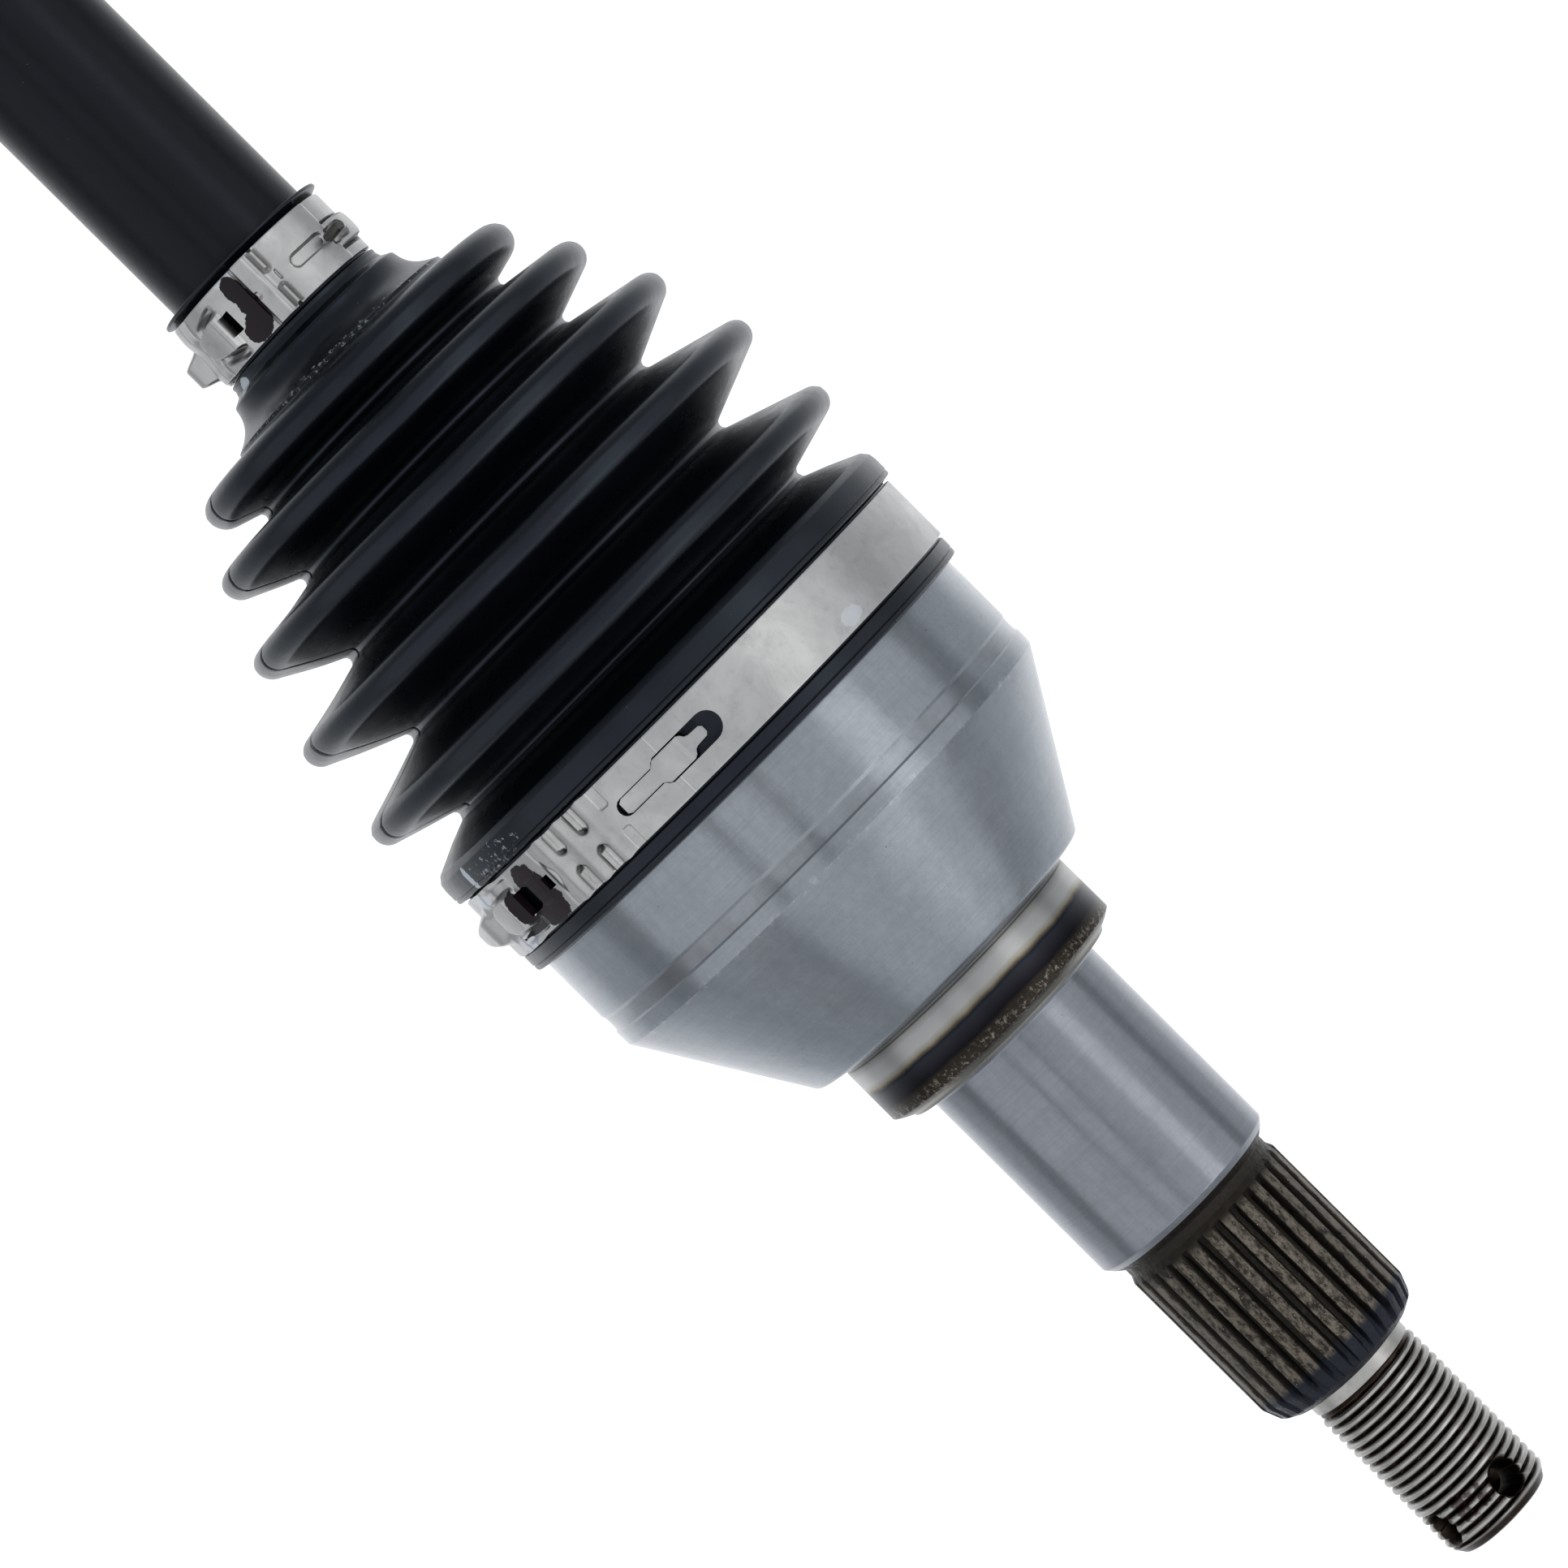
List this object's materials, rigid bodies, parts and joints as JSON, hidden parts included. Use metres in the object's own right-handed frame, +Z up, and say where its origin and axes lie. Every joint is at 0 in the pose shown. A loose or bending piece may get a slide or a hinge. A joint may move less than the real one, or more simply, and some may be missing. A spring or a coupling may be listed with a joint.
{
  "type": "cv axle",
  "caption": "Drive half-shaft: a fixed ball joint with splined, threaded stub at the wheel end, a plunging ball joint at the gearbox end, a bar between, and rubber boots held by band clamps.",
  "frame": {"origin": "on the bar's axis, midway between the two joint centres, where a vise would hold the bar", "axes": "+X along the straight axle towards the wheel end, +Z up, +Y completing a right-handed frame"},
  "size_m": [0.639, 0.0876, 0.0876],
  "materials": {
    "forged_steel": "turned satin steel, oxide-dark splines",
    "bearing_steel": "ground",
    "ball_steel": "polished",
    "spring_steel": "dark phosphate",
    "clamp_steel": "stainless strip",
    "black_paint": "semi-gloss black",
    "boot_rubber": "satin"
  },
  "bodies": {
    "shaft": {"shaft_bar": "black_paint", "outboard_inner_race": "bearing_steel", "outboard_circlip": "spring_steel", "outboard_small_clamp": "clamp_steel", "inboard_inner_race": "bearing_steel", "inboard_circlip": "spring_steel", "inboard_small_clamp": "clamp_steel"},
    "wheel_boot_narrow": {"outboard_boot_narrow": "boot_rubber"},
    "wheel_ball_set": {"outboard_cage": "bearing_steel", "outboard_ball_1": "ball_steel", "outboard_ball_2": "ball_steel", "outboard_ball_3": "ball_steel", "outboard_ball_4": "ball_steel", "outboard_ball_5": "ball_steel", "outboard_ball_6": "ball_steel"},
    "wheel_boot_wide": {"outboard_boot_wide": "boot_rubber"},
    "wheel_stub": {"outboard_housing": "forged_steel", "outboard_large_clamp": "clamp_steel"},
    "gearbox_boot_narrow": {"inboard_boot_narrow": "boot_rubber"},
    "gearbox_ball_set": {"inboard_cage": "bearing_steel", "inboard_ball_1": "ball_steel", "inboard_ball_2": "ball_steel", "inboard_ball_3": "ball_steel", "inboard_ball_4": "ball_steel", "inboard_ball_5": "ball_steel", "inboard_ball_6": "ball_steel"},
    "gearbox_boot_middle": {"inboard_boot_middle": "boot_rubber"},
    "gearbox_boot_wide": {"inboard_boot_wide": "boot_rubber"},
    "gearbox_stub": {"inboard_housing": "forged_steel", "inboard_large_clamp": "clamp_steel", "inboard_retaining_ring": "spring_steel", "inboard_stub_circlip": "spring_steel"}
  },
  "joints": [
    {"name": "wheel_bend_y", "type": "hinge", "parent": "shaft", "child": "wheel_boot_narrow", "pos_m": [0.2, 0, 0], "axis": [0, 1, 0], "range_deg": [-11.5, 11.5], "deforming": ["outboard_boot_narrow"]},
    {"name": "wheel_bend_z", "type": "hinge", "parent": "wheel_boot_narrow", "child": "wheel_ball_set", "pos_m": [0.2, 0, 0], "axis": [0, 0, 1], "range_deg": [-11.5, 11.5]},
    {"name": "wheel_bend_z_outer", "type": "hinge", "parent": "wheel_ball_set", "child": "wheel_boot_wide", "pos_m": [0.2, 0, 0], "axis": [0, 0, 1], "range_deg": [-11.5, 11.5], "deforming": ["outboard_boot_wide"]},
    {"name": "wheel_bend_y_outer", "type": "hinge", "parent": "wheel_boot_wide", "child": "wheel_stub", "pos_m": [0.2, 0, 0], "axis": [0, 1, 0], "range_deg": [-11.5, 11.5]},
    {"name": "gearbox_bend_y", "type": "hinge", "parent": "shaft", "child": "gearbox_boot_narrow", "pos_m": [-0.2, 0, 0], "axis": [0, 1, 0], "range_deg": [-5, 5], "deforming": ["inboard_boot_narrow"]},
    {"name": "gearbox_bend_z", "type": "hinge", "parent": "gearbox_boot_narrow", "child": "gearbox_ball_set", "pos_m": [-0.2, 0, 0], "axis": [0, 0, 1], "range_deg": [-5, 5]},
    {"name": "gearbox_bend_z_outer", "type": "hinge", "parent": "gearbox_ball_set", "child": "gearbox_boot_middle", "pos_m": [-0.2, 0, 0], "axis": [0, 0, 1], "range_deg": [-5, 5], "deforming": ["inboard_boot_middle"]},
    {"name": "gearbox_bend_y_outer", "type": "hinge", "parent": "gearbox_boot_middle", "child": "gearbox_boot_wide", "pos_m": [-0.2, 0, 0], "axis": [0, 1, 0], "range_deg": [-5, 5], "deforming": ["inboard_boot_wide"]},
    {"name": "gearbox_plunge", "type": "slide", "parent": "gearbox_boot_wide", "child": "gearbox_stub", "axis": [1, 0, 0], "range_m": [-0.02, 0.015]}
  ],
  "couplings": [
    {"joint": "wheel_bend_z_outer", "follows": "wheel_bend_z", "ratio": 1},
    {"joint": "wheel_bend_y_outer", "follows": "wheel_bend_y", "ratio": 1},
    {"joint": "gearbox_bend_z_outer", "follows": "gearbox_bend_z", "ratio": 1},
    {"joint": "gearbox_bend_y_outer", "follows": "gearbox_bend_y", "ratio": 1}
  ]
}
